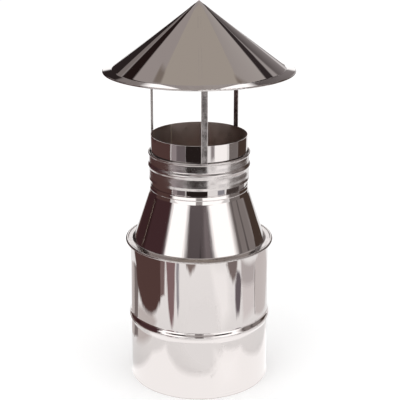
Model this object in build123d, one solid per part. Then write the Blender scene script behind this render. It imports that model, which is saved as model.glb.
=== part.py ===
from build123d import *

import os
from math import atan2, cos, degrees, hypot, radians, sin, tan

# An insulated chimney terminal with a conical rain cap held on three flat legs.
#
# A short twin-wall pipe: a polished outer shell, mineral wool and a flue liner. A cone
# cover closes the top of the shell, and the liner stands out of it as the neck. The cap,
# its three legs and the clamp band round the neck come off together, upwards.
#
# Millimetres. +Z is up, the origin is the centre of the bottom rim, and the front of the
# object faces -Y. An azimuth of 0 degrees is the front, and it grows towards +X.

# Driving dimensions: the pipes and their sheet
FLUE_BORE_D = 150.0
SHELL_OUTER_D = 220.0
SHEET = 0.8
GAP = 0.3
WELDED_GAP = 0.2

# Driving dimensions: the shell's foot and bead
FLARE_H = 6.0
FLARE_OUT = 0.8
BEAD_Z = 103.0
BEAD_HALF = 7.5
BEAD_OUT = 4.0

# Driving dimensions: the folded seam between the shell and the cone
SEAM_Z = 229.1
SEAM_HALF = 1.9
SEAM_R = 117.0
SEAM_FOLD = 4.8
FLANGE_OUT = 4.2
BRIM_LIFT = 1.3
FOLD_SLACK = 0.1

# Driving dimensions: the cone cover and its collar
CONE_FOOT_R = 104.5
SHOULDER_Z = 307.8
SHOULDER_OUT = 1.5
CREASE_Z = 313.4
CREASE_OUT = 0.5
CREASE_H = 1.0
CREASE_STEP = 0.4
COLLAR_TOP_Z = 320.4
COLLAR_LAND = 1.4

# Driving dimensions: the liner and the ring that carries the wool
SOCKET_LOW_Z = 100.0
SOCKET_HIGH_Z = 149.0
SOCKET_TAPER_H = 5.0
NECK_TOP_Z = 399.3
RING_Z = 118.0
RING_FLANGE_H = 12.0
WOOL_SLACK = 1.3
WOOL_SPLIT = 0.3

# Driving dimensions: the clamp band and its bolt
BAND_R = 78.2
BAND_LOW_Z = 329.6
BAND_TOP_Z = 373.0
BAND_FLARE_H = 4.0
BAND_FLARE_OUT = 0.5
RIDGE_Z = 352.0
RIDGE_HALF = 5.0
RIDGE_OUT = 2.3
LIP_OUT = 1.8
LIP_H = 2.6
CLOSURE_AZIMUTH = -160.0
LUG_GAP = 10.0
LUG_T = 2.0
LUG_OUT = 20.0
LUG_HEIGHT = 30.0
LUG_CORNER_R = 5.0
BOLT_R = 2.95
BOLT_STANDOFF = 2.0
THREAD_SLACK = 0.05
BOLT_HOLE_R = 3.3
BOLT_HEAD_T = 4.0
BOLT_TAIL = 9.0
NUT_AF = 10.0
NUT_T = 5.0
WASHER_R = 6.0
WASHER_T = 1.6

# Driving dimensions: the hat, its narrow brim and the edge curled under
APEX_Z = 607.0
HAT_R = 148.0
HAT_ANGLE = 37.7
HAT_BRIM_ANGLE = 10.0
HAT_BRIM_R = 133.1
HAT_BEND_R = 6.0
HAT_CURL_R = 1.3
HAT_CURL_END = -150.0

# Driving dimensions: the legs
LEG_WIDTH = 10.0
LEG_T = 1.1
LEG_LOW_Z = 333.0
LEG_BEND_R = 2.2
LEG_EDGE_R = 0.3
LEG_TAB = 26.0
LEG_AZIMUTHS = {"front": 6.0, "right": 130.0, "left": -105.0}

# Driving dimensions: the welds
WELD_R = 0.7
HAT_WELD_PROUD = 0.15
SPOT_R = 2.0
HAT_SEAM_AZIMUTH = 1.0
CONE_SEAM_AZIMUTH = -59.0
LINER_SEAM_AZIMUTH = -143.0
SHELL_SEAM_AZIMUTH = 180.0
BAND_SPOT_HEIGHTS = (341.0, 362.0)
TAB_SPOT_RUNS = (9.0, 19.0)
RING_WELD_Z = 125.2
NUGGET_FILL = 0.7

# Worked out from them
BORE_R = FLUE_BORE_D / 2
LINER_R = BORE_R + SHEET
SHELL_R = SHELL_OUTER_D / 2
SHELL_IN_R = SHELL_R - SHEET
SOCKET_R = LINER_R + GAP + SHEET
COLLAR_R = LINER_R + GAP + SHEET
LEG_IN_R = LINER_R + GAP
HAT_FALL = tan(radians(HAT_ANGLE))
BOLT_AXIS_R = BAND_R + LUG_OUT / 2 + BOLT_STANDOFF


def bent_line(points, radii):
    """A line in the half-plane of radius and height, with each inner corner rounded."""
    return Plane.XZ * FilletPolyline(*points, radius=radii)


def sheet_face(line, thickness=SHEET, side=1):
    """The cross-section of sheet metal on the left (1) or the right (-1) of a line."""
    start, along = line @ 0, line % 0
    leftwards = Vector(-along.Z, 0, along.X)
    probe = start + along * 0.1 + leftwards * (side * thickness / 2)
    faces = [make_face(offset(line, thickness, side=each).edges()) for each in (Side.LEFT, Side.RIGHT)]
    return next(face for face in faces if face.is_inside(probe))


def turned(face, arc=360.0, start_azimuth=None):
    """A cross-section turned about the Z axis, whole or over part of a circle."""
    if start_azimuth is None:
        return revolve(face, Axis.Z, arc)
    return Rot(0, 0, start_azimuth - 90) * revolve(face, Axis.Z, arc)


def polygon_face(points):
    """A closed cross-section with straight sides, from points of radius and height."""
    return make_face(Plane.XZ * Polyline(*points, close=True))


def at_azimuth(shape, azimuth):
    """A shape built towards +X, swung round to an azimuth."""
    return Rot(0, 0, azimuth - 90) * shape


def weld_between(low, high, azimuth, sheet):
    """A round weld bead along a straight line of a sheet, less the sheet itself."""
    start = Vector(low[0], 0, low[1])
    run = Vector(high[0], 0, high[1]) - start
    bead = Solid.make_cylinder(WELD_R, run.length, Plane(origin=start, z_dir=run))
    return at_azimuth(bead, azimuth) - sheet


def outer_shell():
    """The polished outer pipe: flared foot, swaged bead and a flange turned out on top."""
    flange_z = SEAM_Z - SHEET - FOLD_SLACK
    line = bent_line(
        [
            (SHELL_R + FLARE_OUT, 0),
            (SHELL_R + FLARE_OUT, FLARE_H / 3),
            (SHELL_R, FLARE_H),
            (SHELL_R, BEAD_Z - BEAD_HALF),
            (SHELL_R + BEAD_OUT, BEAD_Z),
            (SHELL_R, BEAD_Z + BEAD_HALF),
            (SHELL_R, flange_z),
            (SHELL_R + FLANGE_OUT, flange_z),
        ],
        [4.0, 6.0, 8.0, 8.0, 8.0, 1.2],
    )
    return turned(sheet_face(line))


def cone_line_points():
    """Foot and shoulder of the cone cover's outer face."""
    return (CONE_FOOT_R, SEAM_Z + BRIM_LIFT), (COLLAR_R + SHOULDER_OUT, SHOULDER_Z)


def cone_cover():
    """The cone: a brim folded over the shell's flange, and a creased collar round the liner."""
    foot, shoulder = cone_line_points()
    fold_r = SEAM_R - SEAM_FOLD
    bend_r = SEAM_HALF - FOLD_SLACK / 2
    crease_r = COLLAR_R + CREASE_OUT
    line = bent_line(
        [
            (fold_r, SEAM_Z - SEAM_HALF),
            (SEAM_R, SEAM_Z - SEAM_HALF),
            (SEAM_R, SEAM_Z + SEAM_HALF),
            (fold_r + BRIM_LIFT, SEAM_Z + SEAM_HALF),
            (fold_r, SEAM_Z + BRIM_LIFT),
            foot,
            shoulder,
            (crease_r, CREASE_Z),
            (crease_r + CREASE_STEP, CREASE_Z + CREASE_H),
            (COLLAR_R, COLLAR_TOP_Z - COLLAR_LAND),
            (COLLAR_R, COLLAR_TOP_Z),
        ],
        [bend_r, bend_r, 1.2, 1.2, 2.5, 6.0, 1.0, 1.0, 4.0],
    )
    return turned(sheet_face(line))


def cone_weld(cover):
    """The cone's closing weld, seen as a line on the left of the front."""
    foot, shoulder = cone_line_points()
    run_r, run_z = foot[0] - shoulder[0], foot[1] - shoulder[1]
    inset = 3.0 / hypot(run_r, run_z)
    low = (foot[0] - run_r * inset, foot[1] - run_z * inset)
    high = (shoulder[0] + run_r * inset, shoulder[1] + run_z * inset)
    under = turned(polygon_face([(0, foot[1]), foot, shoulder, (0, shoulder[1])]))
    return weld_between(low, high, CONE_SEAM_AZIMUTH, cover) - under


def flue_liner():
    """The flue pipe: a socket at its foot, and the open neck at its top."""
    line = bent_line(
        [
            (SOCKET_R, SOCKET_LOW_Z),
            (SOCKET_R, SOCKET_HIGH_Z),
            (LINER_R, SOCKET_HIGH_Z + SOCKET_TAPER_H),
            (LINER_R, NECK_TOP_Z),
        ],
        [3.0, 3.0],
    )
    return turned(sheet_face(line))


def liner_weld(liner):
    """The flue pipe's weld, on the inside and towards the left rear."""
    low = (BORE_R, SOCKET_HIGH_Z + 2 * SOCKET_TAPER_H)
    bead = weld_between(low, (BORE_R, NECK_TOP_Z - GAP), LINER_SEAM_AZIMUTH, liner)
    return bead & Cylinder(BORE_R, 2 * NECK_TOP_Z)


def shell_weld(shell):
    """The outer pipe's weld, down the rear between the bead and the folded seam."""
    low, high = (SHELL_R, BEAD_Z + 2 * BEAD_HALF), (SHELL_R, SEAM_Z - BEAD_HALF)
    return weld_between(low, high, SHELL_SEAM_AZIMUTH, shell) - Cylinder(SHELL_R - GAP, 2 * SEAM_Z)


def retaining_ring():
    """The flat ring that centres the liner in the shell and holds the wool up."""
    outer_r, inner_r = SHELL_IN_R - WELDED_GAP, SOCKET_R + WELDED_GAP
    flange_z = RING_Z + RING_FLANGE_H
    bend_r = 2 * SHEET
    line = bent_line(
        [(outer_r, flange_z), (outer_r, RING_Z), (inner_r, RING_Z), (inner_r, flange_z)],
        [bend_r, bend_r],
    )
    return turned(sheet_face(line, side=-1))


def wool_half(start_azimuth):
    """Half of the mineral wool sleeve between the liner and the shell."""
    inner_r, outer_r = SOCKET_R + WOOL_SLACK, SHELL_IN_R - WOOL_SLACK
    low, high = RING_Z + 2 * WOOL_SLACK, SEAM_Z - 2 * WOOL_SLACK
    section = polygon_face([(inner_r, low), (outer_r, low), (outer_r, high), (inner_r, high)])
    return turned(section, 180 - 2 * WOOL_SPLIT, start_azimuth)


def wool_cone():
    """The mineral wool packed under the cone cover."""
    foot, shoulder = cone_line_points()
    low = SEAM_Z - WOOL_SLACK
    inner_r, foot_r = LINER_R + WOOL_SLACK, foot[0] - 2 * WOOL_SLACK
    lean = (foot[0] - shoulder[0]) / (shoulder[1] - foot[1])
    high = shoulder[1] - (inner_r + 3 * WOOL_SLACK - shoulder[0]) / lean
    top_r = foot_r - lean * (high - foot[1])
    outline = [(inner_r, low), (foot_r, low), (foot_r, foot[1]), (top_r, high), (inner_r, high)]
    return turned(polygon_face(outline))


def band_section():
    """The clamp band's cross-section: a lip at each edge and a pressed ridge between."""
    lip_r = BAND_R + LIP_OUT
    line = bent_line(
        [
            (BAND_R + BAND_FLARE_OUT, BAND_LOW_Z),
            (BAND_R, BAND_LOW_Z + BAND_FLARE_H),
            (BAND_R, RIDGE_Z - RIDGE_HALF),
            (BAND_R + RIDGE_OUT, RIDGE_Z),
            (BAND_R, RIDGE_Z + RIDGE_HALF),
            (BAND_R, BAND_TOP_Z - BAND_FLARE_H),
            (lip_r, BAND_TOP_Z - LIP_H),
            (lip_r, BAND_TOP_Z),
            (BAND_R, BAND_TOP_Z),
        ],
        [3.0, 3.0, 4.0, 3.0, 1.6, 1.1, 1.0],
    )
    return sheet_face(line)


def lug_offset():
    """How far the middle of each lug stands from the closure's own plane."""
    return (LUG_GAP + LUG_T) / 2


def clamp_lug(side):
    """One turned-out end of the band, built towards +X, with its bolt hole."""
    inner_x = BAND_R - SHEET
    length = LUG_OUT + SHEET
    plate = Pos(inner_x + length / 2, side * lug_offset(), RIDGE_Z) * Box(length, LUG_T, LUG_HEIGHT)
    outer_edges = plate.edges().filter_by(Axis.Y).group_by(Axis.X)[-1]
    plate = fillet(outer_edges, LUG_CORNER_R)
    hole = Pos(BOLT_AXIS_R, 0, RIDGE_Z) * Rot(90, 0, 0) * Cylinder(BOLT_HOLE_R, 4 * LUG_GAP)
    return plate - hole


def clamp_band():
    """The split band round the neck, with a lug at each end."""
    half_opening = degrees(atan2(lug_offset(), BAND_R))
    ring = revolve(band_section(), Axis.Z, 360 - 2 * half_opening)
    ring = Rot(0, 0, half_opening) * ring
    return at_azimuth(ring + clamp_lug(1) + clamp_lug(-1), CLOSURE_AZIMUTH)


def on_bolt_axis(shape, along):
    """A turned part put on the clamp bolt's axis, at a distance along it."""
    placed = Pos(BOLT_AXIS_R, along, RIDGE_Z) * Rot(90, 0, 0) * shape
    return at_azimuth(placed, CLOSURE_AZIMUTH)


def hexagon(across_flats, thickness):
    """A hexagonal head or nut."""
    return extrude(RegularPolygon(across_flats / 2, 6, major_radius=False), thickness / 2, both=True)


def stack_end():
    """Where the outer face of each washer lies along the bolt."""
    return LUG_GAP / 2 + LUG_T + WASHER_T


def clamp_bolt():
    """The hexagon bolt that draws the band's ends together."""
    shank_length = 2 * stack_end() + BOLT_TAIL
    head = on_bolt_axis(hexagon(NUT_AF, BOLT_HEAD_T), stack_end() + BOLT_HEAD_T / 2)
    shank = on_bolt_axis(Cylinder(BOLT_R, shank_length), stack_end() - shank_length / 2)
    return head + shank


def clamp_nut():
    """The hexagon nut on the bolt's far end."""
    nut = hexagon(NUT_AF, NUT_T) - Cylinder(BOLT_R + THREAD_SLACK, 2 * NUT_T)
    return on_bolt_axis(nut, -stack_end() - NUT_T / 2)


def clamp_washers():
    """A washer against each lug."""
    washer = Cylinder(WASHER_R, WASHER_T) - Cylinder(BOLT_HOLE_R, 2 * WASHER_T)
    along = stack_end() - WASHER_T / 2
    return Compound(children=[on_bolt_axis(washer, along), on_bolt_axis(washer, -along)])


def hat_z(radius):
    """Height of the cone's outer face at a radius."""
    return APEX_Z - HAT_FALL * radius


def tab_z(radius):
    """Height of a leg tab's upper face at a radius, just under the hat's sheet."""
    return hat_z(radius) - SHEET / cos(radians(HAT_ANGLE)) - WELDED_GAP


def hat():
    """The conical hat: a straight cone, a narrow brim and an edge curled under."""
    slope = radians(HAT_BRIM_ANGLE)
    curl_centre_r = HAT_R - HAT_CURL_R
    brim_drop = (curl_centre_r - HAT_BRIM_R) * tan(slope) + HAT_CURL_R / cos(slope)
    curl_centre = (curl_centre_r, hat_z(HAT_BRIM_R) - brim_drop)
    curl = CenterArc(curl_centre, HAT_CURL_R, HAT_CURL_END, 90 - HAT_BRIM_ANGLE - HAT_CURL_END)
    past_axis = -4 * SHEET
    corners = [curl @ 1, (HAT_BRIM_R, hat_z(HAT_BRIM_R)), (past_axis, hat_z(past_axis))]
    cone = FilletPolyline(*corners, radius=HAT_BEND_R)
    section = sheet_face(Plane.XZ * Wire([*curl.edges(), *cone.edges()]))
    half_plane = Plane.XZ * Pos(SHELL_R, APEX_Z) * Rectangle(2 * SHELL_R, APEX_Z)
    return turned(section & half_plane)


def hat_weld(cap):
    """The hat's closing weld, planished almost flush, down the front."""
    low_r, high_r, sunk = 0.93 * HAT_BRIM_R, 0.05 * HAT_BRIM_R, WELD_R - HAT_WELD_PROUD
    low, high = (low_r, hat_z(low_r) - sunk), (high_r, hat_z(high_r) - sunk)
    under = turned(polygon_face([(0, hat_z(HAT_R)), (HAT_R, hat_z(HAT_R)), (0, APEX_Z)]))
    return weld_between(low, high, HAT_SEAM_AZIMUTH, cap) - under


def flat_leg(azimuth):
    """A flat leg: upright along the neck, with a tab bent out under the hat."""
    angle = radians(HAT_ANGLE)
    bend_z = tab_z(LEG_IN_R)
    tab_end = (LEG_IN_R + LEG_TAB * cos(angle), bend_z - LEG_TAB * sin(angle))
    line = bent_line([(LEG_IN_R, LEG_LOW_Z), (LEG_IN_R, bend_z), tab_end], [LEG_BEND_R])
    flat = extrude(sheet_face(line, LEG_T, side=-1), LEG_WIDTH / 2, both=True)
    side_faces = flat.faces().filter_by(Axis.Y)
    flat = fillet([edge for face in side_faces for edge in face.edges()], LEG_EDGE_R)
    return at_azimuth(flat, azimuth)


def leg_welds():
    """The spot welds that hold each leg to the band and to the underside of the hat."""
    nugget_t = NUGGET_FILL * WELDED_GAP
    spots = []
    for azimuth in LEG_AZIMUTHS.values():
        for z in BAND_SPOT_HEIGHTS:
            on_band = Pos(LEG_IN_R + LEG_T + nugget_t / 2, 0, z) * Rot(0, 90, 0)
            spots.append(at_azimuth(on_band * Cylinder(SPOT_R, nugget_t), azimuth))
        for out in TAB_SPOT_RUNS:
            r = LEG_IN_R + out * cos(radians(HAT_ANGLE))
            on_tab = Pos(r, 0, tab_z(r)) * Rot(0, HAT_ANGLE, 0) * Pos(0, 0, nugget_t / 2)
            spots.append(at_azimuth(on_tab * Cylinder(SPOT_R, nugget_t), azimuth))
    return Compound(children=spots)


def ring_welds(ring, shell, liner):
    """The spot welds that hold the retaining ring to the shell and to the liner."""
    spots = []
    for r in (SOCKET_R + WELDED_GAP / 2, SHELL_IN_R - WELDED_GAP / 2):
        for azimuth in range(45, 360, 90):
            place = Pos(r, 0, RING_WELD_Z) * Rot(0, 90, 0)
            spots.append(at_azimuth(place * Cylinder(SPOT_R, SHEET), azimuth) - ring - shell - liner)
    return Compound(children=spots)


def build():
    """Every node of the object, by name."""
    shell, cover, liner, cap = outer_shell(), cone_cover(), flue_liner(), hat()
    ring, band = retaining_ring(), clamp_band()
    legs = {place: flat_leg(azimuth) for place, azimuth in LEG_AZIMUTHS.items()}
    nodes = {
        "outer_shell": shell,
        "shell_weld": shell_weld(shell),
        "cone_cover": cover,
        "cone_weld": cone_weld(cover),
        "flue_liner": liner,
        "liner_weld": liner_weld(liner),
        "retaining_ring": ring,
        "ring_welds": ring_welds(ring, shell, liner),
        "wool_left": wool_half(WOOL_SPLIT - 180),
        "wool_right": wool_half(WOOL_SPLIT),
        "wool_cone": wool_cone(),
        "clamp_band": band,
        "clamp_bolt": clamp_bolt(),
        "clamp_nut": clamp_nut(),
        "clamp_washers": clamp_washers(),
        "hat": cap,
        "hat_weld": hat_weld(cap),
        "leg_welds": leg_welds(),
    }
    for place, leg in legs.items():
        nodes[f"leg_{place}"] = leg
    return nodes


os.makedirs("parts", exist_ok=True)
for name, shape in build().items():
    export_step(shape, f"parts/{name}.step")
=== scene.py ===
"""Chimney rain cap in polished stainless steel: its finishes, the studio and the camera."""
import logging
import math
from collections.abc import Callable
from dataclasses import dataclass, field
from enum import Enum

import bpy
from mathutils import Matrix, Vector, noise


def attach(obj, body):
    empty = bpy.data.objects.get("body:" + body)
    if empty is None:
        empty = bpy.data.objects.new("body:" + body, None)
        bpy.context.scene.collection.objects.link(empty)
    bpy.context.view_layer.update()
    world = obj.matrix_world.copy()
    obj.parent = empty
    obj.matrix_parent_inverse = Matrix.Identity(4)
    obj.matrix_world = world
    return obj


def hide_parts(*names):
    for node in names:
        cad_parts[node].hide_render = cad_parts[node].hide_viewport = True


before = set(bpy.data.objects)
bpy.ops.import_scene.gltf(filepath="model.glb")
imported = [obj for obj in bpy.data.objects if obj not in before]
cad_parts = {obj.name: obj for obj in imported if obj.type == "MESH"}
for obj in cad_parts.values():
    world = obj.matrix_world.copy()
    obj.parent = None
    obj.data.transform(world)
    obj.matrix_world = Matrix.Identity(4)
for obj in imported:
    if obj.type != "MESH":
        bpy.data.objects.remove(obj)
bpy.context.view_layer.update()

log = logging.getLogger("rain_cap")

MM = 0.001
IMAGE_PIXELS = 400
SENSOR_MM = 36.0
# Nearly all of a noise pattern's values lie between these two.
NOISE_LOW, NOISE_HIGH = 0.3, 0.7
# The Mix node's sockets: its inputs A and B, and its result, for a number and for a colour.
NUMBER_A, NUMBER_B = 2, 3
COLOUR_A, COLOUR_B, COLOUR_OUT = 6, 7, 2

Colour = tuple[float, float, float, float]
Point = tuple[float, float, float]
Pair = tuple[float, float]
Face = tuple[int, ...]
Shell = tuple[list[Point], list[Face]]
Tree = bpy.types.NodeTree
Socket = bpy.types.NodeSocket


def linear(hex_colour: str) -> Colour:
    """Turns an sRGB hex colour into the linear colour that a shader socket takes.

    Args:
        hex_colour: The colour as "#RRGGBB".

    Returns:
        Linear red, green, blue and an alpha of 1.
    """
    parts = [int(hex_colour[i:i + 2], 16) / 255 for i in (1, 3, 5)]
    light = [p / 12.92 if p <= 0.04045 else ((p + 0.055) / 1.055) ** 2.4 for p in parts]
    return light[0], light[1], light[2], 1.0


def add_node(tree: Tree, kind: str, links: dict | None = None,
             values: dict | None = None, **settings: object) -> bpy.types.Node:
    """Adds one shader node with its settings, socket values and links.

    Args:
        tree: The node tree that the node goes into.
        kind: The node's type name after "ShaderNode".
        links: Input name or number to the output socket that feeds it.
        values: Input name or number to its own value.
        **settings: Attributes of the node.

    Returns:
        The new node.
    """
    made = tree.nodes.new("ShaderNode" + kind)
    for name, value in settings.items():
        setattr(made, name, value)
    for name, value in (values or {}).items():
        made.inputs[name].default_value = value
    for name, source in (links or {}).items():
        tree.links.new(source, made.inputs[name])
    return made


def empty_material(name: str) -> bpy.types.Material:
    """Makes a node material with nothing in its tree.

    Args:
        name: The material's name.

    Returns:
        The new material.
    """
    material = bpy.data.materials.new(name)
    material.use_nodes = True
    material.node_tree.nodes.clear()
    return material


def link_mesh(name: str, points: list[Point], faces: list[Face],
              smooth: bool = True) -> bpy.types.Object:
    """Makes a mesh object in the scene.

    Args:
        name: The object's name.
        points: Its corners, in metres.
        faces: Its faces, as numbers of corners.
        smooth: Whether the faces are shaded smooth.

    Returns:
        The new object.
    """
    mesh = bpy.data.meshes.new(name)
    mesh.from_pydata(points, [], faces)
    mesh.update()
    if smooth:
        mesh.shade_smooth()
    made = bpy.data.objects.new(name, mesh)
    bpy.context.scene.collection.objects.link(made)
    return made


def grid_faces(columns: int, rows: int) -> list[Face]:
    """Joins a grid of points, stored row by row.

    Args:
        columns: How many faces lie side by side.
        rows: How many rows of faces there are.

    Returns:
        The faces.
    """
    across = columns + 1
    return [(i, i + 1, i + 1 + across, i + across)
            for row in range(rows) for i in range(row * across, row * across + columns)]


def ring_faces(count: int, rings: int, joined: bool) -> list[Face]:
    """Joins closed rings of points, stored one after the other.

    Args:
        count: How many points each ring has.
        rings: How many rings there are.
        joined: Whether the last ring meets the first; otherwise both are closed by a face.

    Returns:
        The faces.
    """
    faces = []
    for ring in range(rings if joined else rings - 1):
        here, there = ring * count, (ring + 1) % rings * count
        for i in range(count):
            j = (i + 1) % count
            faces.append((here + i, there + i, there + j, here + j))
    if not joined:
        faces.append(tuple(range(count)))
        faces.append(tuple(range(rings * count - 1, (rings - 1) * count - 1, -1)))
    return faces


def dress(name: str, material: bpy.types.Material) -> None:
    """Gives a CAD node its finish.

    Args:
        name: The node.
        material: The finish.
    """
    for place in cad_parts[name].material_slots:
        place.material = material
    log.info("dressed %s in %s", name, material.name)


def at_azimuth(azimuth: float) -> Matrix:
    """The turn that swings something built towards +X round to an azimuth."""
    return Matrix.Rotation(math.radians(azimuth - 90), 4, "Z")


def round_axis(radius: float, turn: float, height: float) -> Point:
    """The point at a radius, an azimuth in radians and a height; azimuth 0 is towards -Y."""
    return radius * math.sin(turn), -radius * math.cos(turn), height


class Grain(Enum):
    """Which way the lines of a rolled sheet run; the value stretches the pattern.

    RADIAL lines fan out from the axis, which no stretching gives, so its value isn't used.
    """

    UPRIGHT = (1.0, 1.0, 0.04)
    AROUND = (0.04, 0.04, 1.0)
    RADIAL = (0.0, 0.0, 0.0)


def across_axis(tree: Tree, place: Socket) -> Socket:
    """Drops the height from coordinates, which leaves the way out from the Z axis."""
    return add_node(tree, "VectorMath", {0: place}, {1: (1.0, 1.0, 0.0)},
                    operation="MULTIPLY").outputs[0]


def off_axis(tree: Tree, place: Socket) -> Socket:
    """Gives the distance of coordinates from the Z axis."""
    return add_node(tree, "VectorMath", {0: across_axis(tree, place)},
                    operation="LENGTH").outputs["Value"]


def in_patches(tree: Tree, pattern: Socket, spread: Pair) -> Socket:
    """Lets a roughness vary in patches.

    Args:
        tree: The material's tree.
        pattern: The noise that draws the patches.
        spread: The roughness where it is low, and where it is high.

    Returns:
        The roughness.
    """
    return add_node(tree, "MapRange", {"Value": pattern},
                    {"From Min": NOISE_LOW, "From Max": NOISE_HIGH, "To Min": spread[0],
                     "To Max": spread[1]}).outputs[0]


@dataclass(frozen=True)
class Finish:
    """What the finishes share: a name, and a tree that ends in one shader."""

    name: str

    def build(self) -> bpy.types.Material:
        """Makes the material.

        Returns:
            The finished material.
        """
        material = empty_material(self.name)
        tree = material.node_tree
        shader = self.shader(tree, add_node(tree, "TexCoord").outputs["Object"])
        add_node(tree, "OutputMaterial", {"Surface": shader.outputs[0]})
        return material

    def shader(self, tree: Tree, place: Socket) -> bpy.types.Node:
        """Draws the finish.

        Args:
            tree: The material's tree.
            place: The piece's own coordinates.

        Returns:
            The shader.
        """
        raise NotImplementedError


@dataclass(frozen=True)
class PolishedSteel(Finish):
    """Stainless steel 304 sheet, bright annealed and polished, then rolled and swaged.

    To the eye it is a clean mirror. Slip rolls leave long shallow waves along the grain,
    which bend the reflections, and handling leaves faint hazy patches and hairline scratches.
    """

    colour: str = "#D6D0CE"
    roughness: float = 0.03
    grain: Grain = Grain.UPRIGHT
    fan_mm: float = 100.0
    fan_drift: float = 0.12
    wave_mm: float = 42.0
    wave_height_mm: float = 0.035
    line_mm: float = 3.0
    line_height_mm: float = 0.0005
    haze_mm: float = 18.0
    haze_times: Pair = (0.8, 1.7)
    hair_mm: float = 0.9
    hair_dulls: float = 0.05
    dull_inside_mm: float = 0.0
    mill_roughness: Pair = (0.26, 0.38)
    bore_dark: str = "#CDBDB6"
    bore_light: str = "#E0D4CE"
    dull_outside_mm: float = 0.0
    fold_roughness: Pair = (0.12, 0.20)

    def shader(self, tree: Tree, place: Socket) -> bpy.types.Node:
        """Draws the polished sheet.

        Args:
            tree: The material's tree.
            place: The piece's own coordinates.

        Returns:
            The shader.
        """
        along = self.along_grain(tree, place)
        waves = add_node(tree, "TexNoise", {"Vector": along},
                         {"Scale": 1 / (self.wave_mm * MM), "Detail": 1.0}).outputs[0]
        lines = add_node(tree, "TexNoise", {"Vector": along},
                         {"Scale": 1 / (self.line_mm * MM), "Detail": 3.0}).outputs[0]
        low = add_node(tree, "Bump", {"Height": waves},
                       {"Strength": 1.0, "Distance": self.wave_height_mm * MM}).outputs[0]
        fine = add_node(tree, "Bump", {"Height": lines, "Normal": low},
                        {"Strength": 1.0, "Distance": self.line_height_mm * MM}).outputs[0]
        rough = self.roughness_map(tree, place, along)
        steel = add_node(tree, "BsdfPrincipled", {"Roughness": rough, "Normal": fine},
                         {"Base Color": linear(self.colour), "Metallic": 1.0})
        if self.dull_inside_mm:
            tree.links.new(self.bore_tone(tree, place, waves), steel.inputs["Base Color"])
        return steel

    def bore_tone(self, tree: Tree, place: Socket, waves: Socket) -> Socket:
        """Darkens the bore, in soft streaks along the grain.

        Args:
            tree: The material's tree.
            place: The piece's own coordinates.
            waves: The rolling waves.

        Returns:
            The colour.
        """
        streaks = add_node(tree, "MapRange", {"Value": waves},
                           {"From Min": 0.35, "From Max": 0.65}).outputs[0]
        bore = add_node(tree, "Mix", {0: streaks},
                        {COLOUR_A: linear(self.bore_dark), COLOUR_B: linear(self.bore_light)},
                        data_type="RGBA").outputs[COLOUR_OUT]
        beyond = self.beyond(tree, place, self.dull_inside_mm)
        return add_node(tree, "Mix", {0: beyond, COLOUR_A: bore},
                        {COLOUR_B: linear(self.colour)}, data_type="RGBA").outputs[COLOUR_OUT]

    def beyond(self, tree: Tree, place: Socket, limit_mm: float) -> Socket:
        """Tells whether a point lies further from the axis than a radius.

        Args:
            tree: The material's tree.
            place: The piece's own coordinates.
            limit_mm: The radius.

        Returns:
            1 beyond it, 0 within it.
        """
        return add_node(tree, "Math", {0: off_axis(tree, place)}, {1: limit_mm * MM},
                        operation="GREATER_THAN").outputs[0]

    def along_grain(self, tree: Tree, place: Socket) -> Socket:
        """Stretches the pattern's coordinates along the sheet's grain.

        Args:
            tree: The material's tree.
            place: The piece's own coordinates.

        Returns:
            The stretched coordinates.
        """
        if self.grain is not Grain.RADIAL:
            return add_node(tree, "VectorMath", {0: place}, {1: self.grain.value},
                            operation="MULTIPLY").outputs[0]
        turn = add_node(tree, "VectorMath", {0: across_axis(tree, place)},
                        operation="NORMALIZE").outputs[0]
        fan = add_node(tree, "VectorMath", {0: turn}, {"Scale": self.fan_mm * MM},
                       operation="SCALE").outputs[0]
        drift = add_node(tree, "VectorMath", {0: place}, {"Scale": self.fan_drift},
                         operation="SCALE").outputs[0]
        return add_node(tree, "VectorMath", {0: fan, 1: drift}, operation="ADD").outputs[0]

    def roughness_map(self, tree: Tree, place: Socket, along: Socket) -> Socket:
        """Draws where the polish is duller: haze, hairline scratches, the bore or the fold.

        Args:
            tree: The material's tree.
            place: The piece's own coordinates.
            along: The coordinates stretched along the grain.

        Returns:
            The roughness.
        """
        haze = add_node(tree, "TexNoise", {"Vector": place},
                        {"Scale": 1 / (self.haze_mm * MM), "Detail": 4.0}).outputs[0]
        dull = add_node(tree, "MapRange", {"Value": haze},
                        {"From Min": 0.35, "From Max": 0.75,
                         "To Min": self.roughness * self.haze_times[0],
                         "To Max": self.roughness * self.haze_times[1]}).outputs[0]
        # Hairlines 0.3 mm wide stand for scratches of a few hundredths of a millimetre.
        hairs = add_node(tree, "TexNoise", {"Vector": along},
                         {"Scale": 1 / (self.hair_mm * MM), "Detail": 2.0}).outputs[0]
        cut = add_node(tree, "MapRange", {"Value": hairs},
                       {"From Min": 0.70, "From Max": 0.78, "To Min": 0.0,
                        "To Max": self.hair_dulls}).outputs[0]
        rough = add_node(tree, "Math", {0: dull, 1: cut}, operation="ADD").outputs[0]
        if self.dull_inside_mm:
            # Inside the pipe the mill's own matt finish is left.
            limit, within = self.dull_inside_mm, in_patches(tree, haze, self.mill_roughness)
            without = rough
        elif self.dull_outside_mm:
            # The folding rollers leave the seam duller than the sheet.
            limit, within = self.dull_outside_mm, rough
            without = in_patches(tree, haze, self.fold_roughness)
        else:
            return rough
        beyond = self.beyond(tree, place, limit)
        return add_node(tree, "Mix", {0: beyond, NUMBER_A: within, NUMBER_B: without},
                        data_type="FLOAT").outputs[0]


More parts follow.
